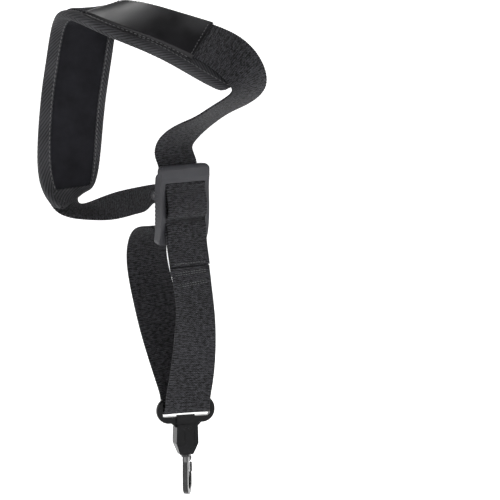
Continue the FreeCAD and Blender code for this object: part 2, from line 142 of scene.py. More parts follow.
# depth and height in the slider's own frame: up the front ply with its crease, over the top,
# then down the rear ply to the tail
SEWN_END = [(-12.4, -48.4), (-11.2, -43.5), (-9.4, -36.0), (-7.9, -28.0), (-7.7, -21.0),
            (-7.4, -17.0), (-5.8, -14.0), (-3.4, -12.2), (-4.8, -10.0), (-8.3, -8.6),
            (-9.3, -3.0), (-8.3, 4.0), (-6.2, 10.0), (-5.1, 14.0), (-5.1, 17.1),
            (1.1, 17.1), (1.1, 11.5), (-0.8, 5.5), (-1.0, -2.5), (-1.1, -10.0),
            (-2.6, -17.0), (-4.5, -22.0), (-5.7, -28.0), (-7.2, -36.0), (-9.0, -43.0),
            (-10.6, -49.5), (-12.1, -56.0)]
# the same, for the short loop round the rear bar
ANCHOR = [(19.0, 7.4), (15.5, 8.0), (12.0, 8.9), (9.2, 9.75), (6.6, 9.55), (5.4, 7.6),
          (5.7, 5.2), (8.2, 4.25), (10.6, 4.9), (13.6, 5.6), (17.5, 5.9)]

WEB_HALF = 18.9
WEB_T = 1.8
WEB_PICK = 1.5                 # spacing of the crossways threads
WEB_MID = 1.85                 # webbing's middle above the pad's route
# sideways and outward offsets of the webbing, by row of NECK_ROUTE
WEB_SHIFT = {18: 1.0, 19: 2.5, 20: 4.0, 21: 5.0, 22: 3.5, 23: 1.0}
WEB_LIFT = {6: 0.2, 7: 0.5, 8: 0.6, 9: 0.6, 10: 0.4, 11: 0.15,
            21: 1.5, 22: 3.0, 23: 2.5, 24: 1.0}
# half widths of the pad where it narrows, by row of NECK_ROUTE
PAD_WIDTHS = {8: 19.5, 9: 22.5, 10: 24.5, 22: 24.5, 23: 21.0, 24: 19.0}
PAD_HALF = 25.0
PAD_FROM, PAD_TO = 7.2, 22.2
PAD_END_HALF = 19.0
PAD_MID = -3.3                 # middle of the pad's thickness
COVER_SEAM, LINING_SEAM = 0.95, -7.6       # heights of the stitch rows on either face
PATCH_FROM, PATCH_TO = 16.1, 19.9
PATCH_HALF = 22.4
RUN_START = 17.6
BIND_LAP = 6.0
BIND_LAP_INSIDE = {-1: 9.5, 1: 5.0}        # near edge, far edge
RIB_PITCH = 2.0
RIB_SLANT = math.radians(32)
RIB_ROUND = 0.7
SWELL_FRAMES = 20
SWELL_PRESSURE = 4.0
SWELL_MOST = 0.0016
TACK_ROWS = (3.4, 5.2, 12.4, 14.2)         # down from the hanging loop's sewn top
FLOOR_GAP = 0.012
FLOOR_RADIUS = 8.0
FLOOR_SWEEP = 1.0
WALL_TOP = 3.6
LIGHT_AIM = (0.06, 0.0, -0.15)
CAMERA_AIM = (0.1132, 0.007, -0.1851)
CAMERA_AWAY = 3.0
CAMERA_TILT = math.radians(8.0)


# ---------------------------------------------------------------- curves

def unit(a):
    return a / np.maximum(np.linalg.norm(a, axis=-1, keepdims=True), 1e-12)


def basis(count, ts):
    """Weights of a clamped uniform cubic B-spline's poles, one row per parameter."""
    top = count - 3
    knots = np.array([0.0] * 3 + list(range(top + 1)) + [top] * 3, float)
    ts = np.clip(ts, 0.0, top - 1e-9)[:, None]
    b = ((ts >= knots[:-1]) & (ts < knots[1:])).astype(float)
    for d in (1, 2, 3):
        rise = knots[d:-1] - knots[:-d - 1]
        fall = knots[d + 1:] - knots[1:-d]
        up = (ts - knots[:-d - 1]) / np.where(rise > 0, rise, 1.0) * (rise > 0)
        down = (knots[d + 1:] - ts) / np.where(fall > 0, fall, 1.0) * (fall > 0)
        b = up * b[:, :-1] + down * b[:, 1:]
    return b


class Route:
    """A band's middle line with its width and outward directions."""

    def __init__(self, rows, shift=None, lift=None):
        rows = np.array(rows, float)
        mid = rows[:, :3]
        along = unit(np.vstack([mid[1:], mid[-1:]]) - np.vstack([mid[:1], mid[:-1]]))
        wide = rows[:, 3:]
        wide = unit(wide - along * (wide * along).sum(1, keepdims=True))
        out = np.cross(along, wide)
        side = np.array([(shift or {}).get(k, 0.0) for k in range(len(rows))])[:, None]
        rise = np.array([(lift or {}).get(k, 0.0) for k in range(len(rows))])[:, None]
        self.poles = mid + wide * side + out * rise
        self.wide = wide
        self.out = out
        self.end = len(rows) - 3.0
        self.fine = np.linspace(0.0, self.end, 2400)
        line = basis(len(rows), self.fine) @ self.poles
        steps = np.linalg.norm(np.diff(line, axis=0), axis=1)
        self.run = np.concatenate([[0.0], np.cumsum(steps)])

    def even(self, start, stop, step):
        """Parameters and running lengths, evenly spaced along the middle line."""
        first, last = np.interp([start, stop], self.fine, self.run)
        count = max(int(round((last - first) / step)), 2)
        runs = np.linspace(first, last, count + 1)
        return np.interp(runs, self.run, self.fine), runs

    def at_run(self, runs):
        return np.interp(runs, self.run, self.fine)

    def axes(self, ts, square):
        b = basis(len(self.poles), ts)
        mid, wide, out = b @ self.poles, b @ self.wide, b @ self.out
        if square:
            near = basis(len(self.poles), np.clip(ts - 0.02, 0, self.end)) @ self.poles
            far = basis(len(self.poles), np.clip(ts + 0.02, 0, self.end)) @ self.poles
            along = unit(far - near)
            wide = unit(wide - along * (wide * along).sum(1, keepdims=True))
            out = np.cross(along, wide)
        return mid, wide, out

    def place(self, ts, side, height, square=False):
        """Points at parameters, sideways offsets and heights, arrays of one shape."""
        ts, side, height = np.broadcast_arrays(ts, side, height)
        if ts.ndim == 2 and (ts == ts[:, :1]).all():
            mid, wide, out = (a[:, None, :] for a in self.axes(ts[:, 0], square))
        else:
            axes = self.axes(ts.ravel(), square)
            mid, wide, out = (a.reshape(*ts.shape, 3) for a in axes)
        return mid + wide * side[..., None] + out * height[..., None]


def in_slider(path):
    """Route rows for a (depth, height) path in the slider's own frame."""
    rows = []
    for y, z in path:
        x0, y0, z0 = SLIDER_AT + SLIDER_Y * y + np.array([0.0, 0.0, z])
        rows.append((x0, y0, z0, *SLIDER_X))
    return rows


def smooth(x):
    x = np.clip(x, 0.0, 1.0)
    return x * x * (3 - 2 * x)


def to_row(points):
    return (points - NECK_POINT) * MM


# ---------------------------------------------------------------- meshes

def piece(name, points, faces, uv=None, material=None):
    """Mesh object in row metres from points in millimetres; uv is one pair per point."""
    me = bpy.data.meshes.new(name)
    me.from_pydata(to_row(points).tolist(), [], faces)
    ob = bpy.data.objects.new(name, me)
    bpy.context.scene.collection.objects.link(ob)
    if uv is not None:
        layer = me.uv_layers.new(name="weave")
        corner = np.zeros(len(me.loops), np.int32)
        me.loops.foreach_get("vertex_index", corner)
        layer.data.foreach_set("uv", uv[corner].astype(np.float32).ravel())
    bm = bmesh.new()
    bm.from_mesh(me)
    bmesh.ops.recalc_face_normals(bm, faces=bm.faces)
    bm.to_mesh(me)
    bm.free()
    me.polygons.foreach_set("use_smooth", [True] * len(me.polygons))
    if material:
        me.materials.append(material)
    return ob


def tube_faces(rows, columns):
    """Quads of a closed band whose section runs out along one face and back along the other."""
    grid = np.arange(rows * columns).reshape(rows, columns)
    turn = np.roll(grid, -1, axis=1)
    faces = np.stack([grid[:-1], turn[:-1], turn[1:], grid[1:]], -1).reshape(-1, 4).tolist()
    for row in (grid[0], grid[-1]):
        for j in range(columns // 2 - 1):
            faces.append([int(row[j]), int(row[j + 1]), int(row[columns - 2 - j]),
                          int(row[columns - 1 - j])])
    return faces


def tube(name, points, uv, material):
    rows, columns = points.shape[:2]
    return piece(name, points.reshape(-1, 3), tube_faces(rows, columns), uv.reshape(-1, 2),
                 material)


def there_and_back(values):
    return np.concatenate([values, values[::-1]], axis=-1)


# ---------------------------------------------------------------- materials

class Graph:
    """A material's node tree, with short calls to add nodes."""

    def __init__(self, name, **sockets):
        self.material = bpy.data.materials.new(name)
        self.material.use_nodes = True
        self.tree = self.material.node_tree
        self.shader = next(n for n in self.tree.nodes if n.type == "BSDF_PRINCIPLED")
        for label, value in sockets.items():
            self.shader.inputs[label.replace("_", " ")].default_value = value

    def node(self, kind, inputs=None, **settings):
        made = self.tree.nodes.new("ShaderNode" + kind)
        for label, value in settings.items():
            setattr(made, label, value)
        for label, value in (inputs or {}).items():
            if isinstance(value, bpy.types.NodeSocket):
                self.tree.links.new(value, made.inputs[label])
            else:
                made.inputs[label].default_value = value
        return made

    def math(self, operation, a, b=0.0):
        return self.node("Math", {0: a, 1: b}, operation=operation).outputs[0]

    def weave(self):
        """Sideways and lengthways distances in millimetres."""
        uv = self.node("UVMap", uv_map="weave").outputs[0]
        split = self.node("SeparateXYZ", {0: uv})
        return split.outputs[0], split.outputs[1]

    def place(self):
        return self.node("TexCoord").outputs["Object"]

    def noise(self, scale, detail=3.0, rough=0.55, vector=None):
        made = self.node("TexNoise", {"Vector": vector or self.place(), "Scale": scale,
                                      "Detail": detail, "Roughness": rough})
        return made.outputs[0]

    def ramp(self, value, low, high, a, b):
        """Blend of two colours as value goes from low to high."""
        share = self.node("MapRange", {"Value": value, "From Min": low, "From Max": high})
        made = self.node("Mix", {0: share.outputs[0], 6: (*a, 1), 7: (*b, 1)},
                         data_type="RGBA")
        return made.outputs[2]

    def colour(self, socket):
        self.tree.links.new(socket, self.shader.inputs["Base Color"])

    def roughness(self, value, low, high, a, b):
        share = self.node("MapRange", {"Value": value, "From Min": low, "From Max": high,
                                       "To Min": a, "To Max": b})
        self.tree.links.new(share.outputs[0], self.shader.inputs["Roughness"])

    def bump(self, height, depth, strength=1.0, under=None):
        inputs = {"Height": height, "Distance": depth, "Strength": strength}
        if under is not None:
            inputs["Normal"] = under
        made = self.node("Bump", inputs)
        self.tree.links.new(made.outputs[0], self.shader.inputs["Normal"])
        return made.outputs[0]


def grey(value, tint=1.03):
    return (value, value, value * tint)


def webbing_material():
    """Polyester webbing: lengthways cords crossed by small vee-shaped picks, painted darker
    between the threads (painted shade) and lighter on their tops (painted highlight).
    """
    g = Graph("webbing_weave", Roughness=0.68, Specular_IOR_Level=0.16, Sheen_Weight=0.04,
              Sheen_Roughness=0.5)
    u, v = g.weave()
    cord = g.math("PINGPONG", g.math("DIVIDE", u, 2.1), 0.5)
    pick = g.math("ADD", g.math("DIVIDE", v, WEB_PICK), g.math("MULTIPLY", cord, 1.1))
    vee = g.math("SINE", g.math("MULTIPLY", pick, 2 * math.pi))
    ridge = g.math("SINE", g.math("MULTIPLY", cord, 2 * math.pi))
    thread = g.math("ADD", g.math("MULTIPLY", vee, 0.6), g.math("MULTIPLY", ridge, 0.4))
    fuzz = g.noise(2600.0, 2.0)
    wear = g.noise(28.0, 4.0)
    height = g.math("ADD", thread, g.math("MULTIPLY", fuzz, 0.8))
    slubs = g.noise(1.0, 2.0, 0.6, g.node("CombineXYZ", {
        0: g.math("MULTIPLY", u, 0.3), 1: g.math("MULTIPLY", v, 0.62)}).outputs[0])
    # colour: thread tops painted lighter and the gaps between threads painted darker, a painted
    # highlight and painted shade; wear, fuzz and slubs are random tone
    tone = g.math("ADD", g.math("MULTIPLY", thread, 0.3), g.math("MULTIPLY", wear, 0.45))
    tone = g.math("ADD", tone, g.math("MULTIPLY", fuzz, 0.5))
    tone = g.math("ADD", tone, g.math("MULTIPLY", slubs, 2.4))
    # lighter dots painted along the selvedge loops: painted highlight
    selvedge = g.node("MapRange", {"Value": g.math("ABSOLUTE", u), "From Min": 15.6,
                                   "From Max": 17.0}).outputs[0]
    whisker_glint = g.math("SINE", g.math("MULTIPLY", v, 2 * math.pi / 2.25))
    tone = g.math("ADD", tone, g.math("MULTIPLY", g.math("MULTIPLY", whisker_glint, selvedge), 0.4))
    g.colour(g.ramp(tone, 1.4, 2.1, grey(0.001, 1.14), grey(0.043, 1.14)))
    g.bump(height, 0.00035, 1.0)
    return g.material


def twill_material():
    """Ribbed binding tape: rib tops and bead tops painted lighter (painted highlight) and grooves
    painted darker (painted shade), fine cross threads on every rib.
    """
    g = Graph("ribbed_twill", Roughness=0.65, Specular_IOR_Level=0.18, Sheen_Weight=0.04,
              Sheen_Roughness=0.45)
    u, v = g.weave()
    along = g.math("SUBTRACT", g.math("MULTIPLY", u, math.sin(RIB_SLANT)),
                   g.math("MULTIPLY", v, math.cos(RIB_SLANT)))
    across = g.math("ADD", g.math("MULTIPLY", u, math.cos(RIB_SLANT)),
                    g.math("MULTIPLY", v, math.sin(RIB_SLANT)))
    rib = g.math("ABSOLUTE", g.math("SINE", g.math("MULTIPLY", across, math.pi / RIB_PITCH)))
    beads = g.math("SINE", g.math("MULTIPLY", along, 2 * math.pi / 0.9))
    fuzz = g.noise(2400.0, 2.0)
    wear = g.noise(40.0, 4.0)
    height = g.math("ADD", g.math("MULTIPLY", beads, 0.4), fuzz)
    # colour: rib and bead tops painted lighter, grooves painted darker, a painted highlight and
    # painted shade; wear and fuzz are random tone
    tone = g.math("ADD", g.math("MULTIPLY", rib, 0.75), g.math("MULTIPLY", beads, 0.1))
    tone = g.math("ADD", tone, g.math("ADD", wear, g.math("MULTIPLY", fuzz, 0.4)))
    g.colour(g.ramp(tone, 0.6, 1.6, grey(0.001, 1.1), grey(0.048, 1.1)))
    g.bump(height, 0.0002, 0.8)
    return g.material


def velvet_material():
    g = Graph("velvet_lining", Roughness=0.92, Specular_IOR_Level=0.12, Sheen_Weight=0.14,
              Sheen_Roughness=0.35)
    pile = g.noise(3200.0, 2.0)
    brushed = g.noise(55.0, 5.0, 0.65)
    g.colour(g.ramp(g.math("ADD", brushed, g.math("MULTIPLY", pile, 0.35)), 0.45, 0.95,
                    grey(0.006, 1.25), grey(0.0145, 1.25)))
    under = g.bump(brushed, 0.0006, 0.35)
    g.bump(pile, 0.0003, 0.7, under)
    return g.material


def leather_material():
    g = Graph("smooth_leather", Specular_IOR_Level=0.32)
    cells = g.node("TexVoronoi", {"Vector": g.place(), "Scale": 950.0, "Randomness": 0.9},
                   feature="DISTANCE_TO_EDGE").outputs[0]
    broad = g.noise(45.0, 4.0)
    fine = g.noise(700.0, 3.0)
    g.colour(g.ramp(broad, 0.35, 0.7, (0.005, 0.0048, 0.0056), (0.010, 0.0096, 0.0115)))
    g.roughness(g.math("ADD", broad, g.math("MULTIPLY", fine, 0.3)), 0.45, 0.85, 0.28, 0.4)
    under = g.bump(cells, 0.00012, 0.35)
    g.bump(fine, 0.0001, 0.3, under)
    return g.material


def plastic_material(name, low, high, rough, grain, level):
    """Moulded plastic with faint flow marks, rubbed a little brighter here and there."""
    g = Graph(name, Specular_IOR_Level=level)
    flow = g.noise(60.0, 5.0, 0.6)
    fine = g.noise(1500.0, 2.0)
    rubbed = g.math("ADD", flow, g.math("MULTIPLY", fine, 0.25))
    g.colour(g.ramp(rubbed, 0.4, 0.9, grey(low, 1.16), grey(high, 1.16)))
    g.roughness(rubbed, 0.4, 0.9, rough - 0.05, rough + 0.08)
    g.bump(fine, grain, 0.5)
    return g.material


def metal_material(name, tone, rough):
    """Plated metal: tiny scratches and a slightly uneven polish."""
    g = Graph(name, Metallic=1.0)
    stretched = g.node("Mapping", {0: g.place(), 3: (1.0, 1.0, 0.12)}).outputs[0]
    scratch = g.noise(900.0, 3.0, 0.6, stretched)
    broad = g.noise(120.0, 3.0)
    g.colour(g.ramp(broad, 0.3, 0.75, grey(tone * 0.85, 1.02), grey(tone * 1.1, 1.02)))
    g.roughness(g.math("ADD", scratch, g.math("MULTIPLY", broad, 0.5)), 0.5, 1.1,
                rough * 0.7, rough * 1.5)
    g.bump(scratch, 0.00004, 0.4)
    return g.material


def thread_material():
    g = Graph("bonded_thread", Roughness=0.5, Specular_IOR_Level=0.4)
    twist = g.node("TexWave", {"Vector": g.place(), "Scale": 700.0, "Distortion": 1.5},
                   bands_direction="DIAGONAL").outputs[1]
    g.colour(g.ramp(twist, 0.1, 0.9, grey(0.045), grey(0.13)))
    g.bump(twist, 0.0001, 0.6)
    return g.material


WEBBING = webbing_material()
TWILL = twill_material()
VELVET = velvet_material()
LEATHER = leather_material()
THREAD = thread_material()
SLIDER_PLASTIC = plastic_material("satin_plastic", 0.026, 0.037, 0.42, 0.00004, 0.3)
GLOSS_PLASTIC = plastic_material("gloss_black_plastic", 0.003, 0.006, 0.16, 0.00002, 0.14)
HOOK_METAL = metal_material("dark_nickel", 0.045, 0.24)
STEEL = metal_material("steel_rod", 0.14, 0.3)
CHROME = metal_material("chrome_plate", 0.8, 0.14)


# ---------------------------------------------------------------- webbing

def webbing(name, route, start, stop, middle, square=False, wave=0.25, seed=0.0, step=0.375):
    """Webbing with ribbed faces, thick beaded selvedges and a slight cup and wave."""
    ts, runs = route.even(start, stop, step)
    inner = np.linspace(-WEB_HALF + 1.6, WEB_HALF - 1.6, 19)
    rim = WEB_HALF - np.array([0.0, 0.18, 0.55, 1.0])
    side = np.concatenate([-rim, inner, rim[::-1]])
    edge = np.clip((WEB_HALF - np.abs(side)) / 0.9, 0, 1)
    thick = WEB_T / 2 * (0.25 + 0.75 * np.sqrt(edge * (2 - edge)))
    rib = np.cos(2 * math.pi * runs / WEB_PICK)[:, None]
    flat = smooth(edge)
    bead = (1 - flat) * 0.16
    s = side[None, :] * (1 + bead[None, :] * rib / WEB_HALF)
    drift = np.sin(runs / 19.0 + seed) + 0.6 * np.sin(runs / 8.3 + 2.1 * seed)
    tilt = np.sin(runs / 27.0 + 1.3 * seed)
    fade = smooth((runs - runs[0]) / 12.0) * smooth((runs[-1] - runs) / 12.0)
    body = wave * fade[:, None] * (0.5 * drift[:, None]
                                   + 0.5 * tilt[:, None] * side[None, :] / WEB_HALF
                                   - 0.5 * (side[None, :] / WEB_HALF) ** 2)
    relief = 0.085 * rib * (0.35 + 0.65 * flat)
    top = middle + body + thick + relief
    low = middle + body - thick - relief
    sides = np.concatenate([s, s[:, ::-1]], axis=1)
    heights = np.concatenate([top, low[:, ::-1]], axis=1)
    points = route.place(ts[:, None], sides, heights, square)
    uv = np.stack([np.broadcast_to(there_and_back(side), sides.shape),
                   np.broadcast_to(runs[:, None], sides.shape)], -1)
    ob = tube(name, points, uv, WEBBING)
    return ob, runs[-1] - runs[0]


def stitches(name, runs_of_points, body, length=2.6, gap=1.0, radius=0.34):
    """Rows of separate stitches. Each row is points and outward directions, in millimetres."""
    verts, faces = [], []
    around = 6
    profile = ((0.0, 0.25, -0.5), (0.18, 0.85, 0.1), (0.5, 1.0, 0.45), (0.82, 0.85, 0.1),
               (1.0, 0.25, -0.5))
    for line, outs in runs_of_points:
        steps = np.linalg.norm(np.diff(line, axis=0), axis=1)
        run = np.concatenate([[0.0], np.cumsum(steps)])
        count = int(run[-1] // (length + gap))
        for i in range(count):
            begin = i * (length + gap) + gap / 2
            marks = np.array([begin + length * p[0] for p in profile])
            centre = np.stack([np.interp(marks, run, line[:, a]) for a in range(3)], 1)
            out = unit(np.array([np.interp(marks[2], run, outs[:, a]) for a in range(3)]))
            along = unit(centre[-1] - centre[0])
            wide = np.cross(along, out)
            base = len(verts)
            for (_, size, rise), c in zip(profile, centre):
                for a in range(around):
                    angle = 2 * math.pi * a / around
                    verts.append(c + out * (rise + size * math.sin(angle)) * radius
                                 + wide * size * math.cos(angle) * radius)
            for r in range(len(profile) - 1):
                for a in range(around):
                    b = (a + 1) % around
                    faces.append((base + r * around + a, base + r * around + b,
                                  base + (r + 1) * around + b, base + (r + 1) * around + a))
            faces.append(tuple(base + a for a in range(around)))
            faces.append(tuple(base + (len(profile) - 1) * around + a for a in range(around)))
    ob = piece(name, np.array(verts), faces, None, THREAD)
    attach(ob, body)
    return ob


pad_route = Route(NECK_ROUTE)
web_route = Route(NECK_ROUTE, WEB_SHIFT, WEB_LIFT)
loop_route = Route(LOOP_ROUTE)
end_route = Route(in_slider(SEWN_END))
anchor_route = Route(in_slider(ANCHOR))

strap_left, left_length = webbing("strap_left", web_route, 0.0, 7.75, WEB_MID, wave=0.5)
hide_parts("fixed_webbing")
web_pad, pad_length = webbing("webbing_on_pad", web_route, 7.6, RUN_START, WEB_MID, wave=0.0,
                              step=0.75)
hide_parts("fixed_webbing")
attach(web_pad, "neck")
strap_right, right_length = webbing("strap_right", web_route, RUN_START + 0.05, web_route.end,
                                    WEB_MID, wave=0.5, seed=2.0)
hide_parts("running_webbing_neck")
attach(strap_right, "neck")
loop, loop_length = webbing("strap_loop", loop_route, 0.0, loop_route.end, 0.0, square=True,
                            wave=0.6, seed=1.0)
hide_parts("running_webbing_loop")
sewn, sewn_length = webbing("strap_sewn_end", end_route, 0.0, end_route.end, 0.0, square=True,
                            wave=0.0)
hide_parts("running_webbing_end")
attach(sewn, "slider")
anchor, anchor_length = webbing("strap_anchor", anchor_route, 0.0, anchor_route.end, 0.0,
                                square=True, wave=0.0)
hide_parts("fixed_webbing_anchor")
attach(anchor, "slider")


# ---------------------------------------------------------------- pad

def pad_half(ts):
    wide = np.array([PAD_WIDTHS.get(k, PAD_HALF if 10 < k < 22 else PAD_END_HALF)
                     for k in range(len(NECK_ROUTE))])
    return basis(len(wide), ts) @ wide


def end_round(runs, reach):
    """From 0 at the pad's ends to 1 within reach millimetres of them."""
    near = np.minimum(runs - runs[0], runs[-1] - runs)
    share = 1 - np.clip(near / reach, 0, 1)
    return np.sqrt(1 - share ** 2)


def swell(ob, pinned, pressure, most):
    """Inflates a closed form with cloth simulation; no point moves more than most metres."""
    me = ob.data
    before = np.zeros(len(me.vertices) * 3, np.float32)
    me.vertices.foreach_get("co", before)
    before = before.reshape(-1, 3)
    group = ob.vertex_groups.new(name="seams")
    group.add([int(i) for i in np.flatnonzero(pinned)], 1.0, "REPLACE")
    cloth = ob.modifiers.new("inflate", "CLOTH")
    cloth.settings.quality = 6
    cloth.settings.mass = 0.25
    cloth.settings.tension_stiffness = 12
    cloth.settings.compression_stiffness = 12
    cloth.settings.shear_stiffness = 4
    cloth.settings.bending_stiffness = 0.4
    cloth.settings.use_pressure = True
    cloth.settings.uniform_pressure_force = pressure
    cloth.settings.vertex_group_mass = "seams"
    cloth.settings.effector_weights.gravity = 0.0
    cloth.point_cache.frame_start = 1
    cloth.point_cache.frame_end = SWELL_FRAMES
    scene = bpy.context.scene
    for number in range(1, SWELL_FRAMES + 1):
        scene.frame_set(number)
    graph = bpy.context.evaluated_depsgraph_get()
    after = np.zeros(len(me.vertices) * 3, np.float32)
    ob.evaluated_get(graph).data.vertices.foreach_get("co", after)
    ob.modifiers.remove(cloth)
    scene.frame_set(1)
    shift = after.reshape(-1, 3) - before
    far = np.linalg.norm(shift, axis=1, keepdims=True)
    shift *= np.minimum(1.0, most / np.maximum(far, 1e-9))
    me.vertices.foreach_set("co", (before + shift).astype(np.float32).ravel())
    me.update()


def cushion_piece():
    """Foam core with its velvet side: a closed form, sewn down along the binding's edges."""
    ts, runs = pad_route.even(PAD_FROM, PAD_TO, 3.0)
    columns = 20
    spread = np.sin(np.linspace(-1, 1, columns) * math.pi / 2)
    half = pad_half(ts)[:, None] - 0.9
    ends = end_round(runs, 7.0)[:, None]
    sides = spread[None, :] * (half - 2.0 * (1 - ends))
    pulled = np.abs(spread[None, :]) ** 5
    top = -0.35 - 1.5 * pulled - 2.4 * (1 - ends)
    low = -6.75 + 1.5 * pulled + 2.4 * (1 - ends)
    side = np.concatenate([sides, sides[:, ::-1]], axis=1)
    height = np.concatenate([top, low[:, ::-1]], axis=1)
    points = pad_route.place(ts[:, None], side, height)
    uv = np.stack([side, np.broadcast_to(runs[:, None], side.shape)], -1)
    ob = tube("pad_cushion", points, uv, VELVET)
    seam = np.where(side < 0, BIND_LAP_INSIDE[-1], BIND_LAP_INSIDE[1]) > half - np.abs(side)
    outer = np.zeros(side.shape, bool)
    outer[:, :columns] = True
    edge = np.broadcast_to(ends < 0.98, side.shape)
    swell(ob, (seam | outer | edge).ravel(), SWELL_PRESSURE, SWELL_MOST)
    crown = ob.modifiers.new("crown", "SUBSURF")
    crown.levels = crown.render_levels = 2
    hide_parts("pad_foam_core", "pad_lining")
    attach(ob, "neck")
    return ob


def ribbed(u, v):
    """Height of the slanted ribs, 0 in a groove to 1 on a rib."""
    phase = (u * math.cos(RIB_SLANT) + v * math.sin(RIB_SLANT)) / RIB_PITCH
    return np.abs(np.sin(math.pi * phase)) ** RIB_ROUND


def cover_piece():
    """Ribbed outer cover between the bindings."""
    ts, runs = pad_route.even(PAD_FROM + 0.05, PAD_TO - 0.05, 0.9)
    half = pad_half(ts)[:, None] - BIND_LAP - 0.1
    columns = 44
    spread = np.linspace(-1, 1, columns)
    side = spread[None, :] * half
    rib = ribbed(side, runs[:, None])
    top = 0.45 + 0.3 * rib
    low = np.zeros(side.shape)
    points = pad_route.place(ts[:, None], np.concatenate([side, side[:, ::-1]], axis=1),
                             np.concatenate([top, low], axis=1))
    uv = np.stack([np.concatenate([side, side[:, ::-1]], axis=1),
                   np.broadcast_to(runs[:, None], (len(ts), 2 * columns))], -1)
    ob = tube("pad_cover", points, uv, TWILL)
    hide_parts("pad_outer_cover")
    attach(ob, "neck")
    return ob, runs[-1] - runs[0]


def fold_path(lap_out, lap_in, count):
    """A binding's section from its outer lap round the pad's edge to its inner lap.

    Returns distances in from the pad's edge line, heights and running lengths."""
    corner, bulge, top, low = 2.6, 0.35, 0.62, -7.3
    outline = [(-lap_out, top), (-corner, top)]
    for k in range(1, 10):
        a = math.radians(90 - 9 * k)
        outline.append((-corner + 0.2 + (corner + bulge) * math.cos(a),
                        top - corner + corner * math.sin(a)))
    outline.append((0.62, PAD_MID))
    for k in range(9, 0, -1):
        a = math.radians(90 - 9 * k)
        outline.append((-corner + 0.2 + (corner + bulge) * math.cos(a),
                        low + corner - corner * math.sin(a)))
    outline += [(-corner, low), (-lap_in, low)]
    outline = np.array(outline)
    steps = np.linalg.norm(np.diff(outline, axis=0), axis=1)
    run = np.concatenate([[0.0], np.cumsum(steps)])
    marks = np.linspace(0, run[-1], count)
    return np.interp(marks, run, outline[:, 0]), np.interp(marks, run, outline[:, 1]), marks


def binding_piece(name, sign, node):
    ts, runs = pad_route.even(PAD_FROM, PAD_TO, 0.75)
    inset, height, lengths = fold_path(BIND_LAP, BIND_LAP_INSIDE[sign], 50)
    d_in, d_h = np.gradient(inset), np.gradient(height)
    size = np.maximum(np.hypot(d_in, d_h), 1e-9)
    out_s, out_h = -d_h / size, d_in / size
    ends = end_round(runs, 6.0)[:, None]
    half = pad_half(ts)[:, None]
    chevron = -np.abs(lengths - lengths[np.argmax(inset)])
    rib = 0.1 + 0.3 * ribbed(chevron[None, :], runs[:, None])
    rib = rib * np.minimum(1.0, np.minimum(lengths, lengths[::-1])[None, :] / 1.2 + 0.15)
    pinch = 1 - ends
    outer_s = half - 2.0 * pinch + inset[None, :] + out_s[None, :] * rib
    outer_h = height[None, :] + out_h[None, :] * rib
    inner_s = half - 2.0 * pinch + inset[None, :] - out_s[None, :] * 0.6
    inner_h = height[None, :] - out_h[None, :] * 0.6
    outer_h = PAD_MID + (outer_h - PAD_MID) * (1 - 0.55 * pinch)
    inner_h = PAD_MID + (inner_h - PAD_MID) * (1 - 0.55 * pinch)
    side = sign * np.concatenate([outer_s, inner_s[:, ::-1]], axis=1)
    high = np.concatenate([outer_h, inner_h[:, ::-1]], axis=1)
    points = pad_route.place(ts[:, None], side, high)
    uv = np.stack([np.broadcast_to(there_and_back(chevron), side.shape),
                   np.broadcast_to(runs[:, None], side.shape)], -1)
    ob = tube(name, points, uv, TWILL)
    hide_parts(node)
    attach(ob, "neck")
    return ob, float(lengths[-1])


def seam_line(route, ts, side, height):
    """Points and outward directions of a stitch row on a route's face."""
    line = route.place(ts, side, height)
    away = route.place(ts, side, height + np.sign(height) * 1.0)
    return line, unit(away - line)


def hem_piece(name, start, inward, inside, outside):
    """Ribbed cover turned round the pad's end, lapping onto the velvet and the outer face."""
    first = float(np.interp(start, pad_route.fine, pad_route.run))
    reach = np.array([inside, 2.0, 0.4, -0.9, -1.25, -0.9, 0.4, 2.0, outside])
    rise = np.array([-7.9, -7.9, -7.3, -5.4, -3.3, -1.2, 0.5, 0.95, 0.95])
    steps = np.concatenate([[0.0], np.cumsum(np.hypot(np.diff(reach), np.diff(rise)))])
    marks = np.linspace(0.0, steps[-1], 46)
    away, high = np.interp(marks, steps, reach), np.interp(marks, steps, rise)
    size = np.maximum(np.hypot(np.gradient(away), np.gradient(high)), 1e-9)
    turn_run, turn_high = np.gradient(high) / size, -np.gradient(away) / size
    across = np.linspace(-1, 1, 70)[:, None]
    rib = 0.28 * np.abs(np.sin(math.pi * (across * 22.0 + 0.12 * marks[None, :])
                               / 1.9)) ** RIB_ROUND
    lap = np.minimum(1.0, np.minimum(marks, marks[::-1])[None, :] / 1.2 + 0.15)
    shells = []
    for off in (rib * lap, np.full(rib.shape, -0.55)):
        run = first + inward * (away[None, :] - turn_run[None, :] * off)
        ts = pad_route.at_run(run)
        half = pad_half(ts.ravel()).reshape(ts.shape) - 1.2 - 2.2 * (1 - smooth(
            (away[None, :] + 1.3) / 7.0))
        round_off = 1 - 0.25 * np.abs(across) ** 6
        height = PAD_MID + (high[None, :] - PAD_MID - turn_high[None, :] * off) * round_off
        shells.append((ts, across * half, height))
    ts, side, height = (np.concatenate([a, b[:, ::-1]], axis=1)
                        for a, b in zip(shells[0], shells[1]))
    points = pad_route.place(ts, side, height)
    uv = np.stack([np.broadcast_to(there_and_back(marks), side.shape), side], -1)
    ob = tube(name, points, uv, TWILL)
    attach(ob, "neck")
    return ob


cushion = cushion_piece()
hem_left = hem_piece("pad_hem_left", PAD_FROM, 1.0, 13.0, 5.0)
hem_right = hem_piece("pad_hem_right", PAD_TO, -1.0, 13.0, 5.0)
cover, cover_length = cover_piece()
binding_low, low_width = binding_piece("binding_lower", -1, "binding_lower_edge")
binding_high, high_width = binding_piece("binding_upper", 1, "binding_upper_edge")

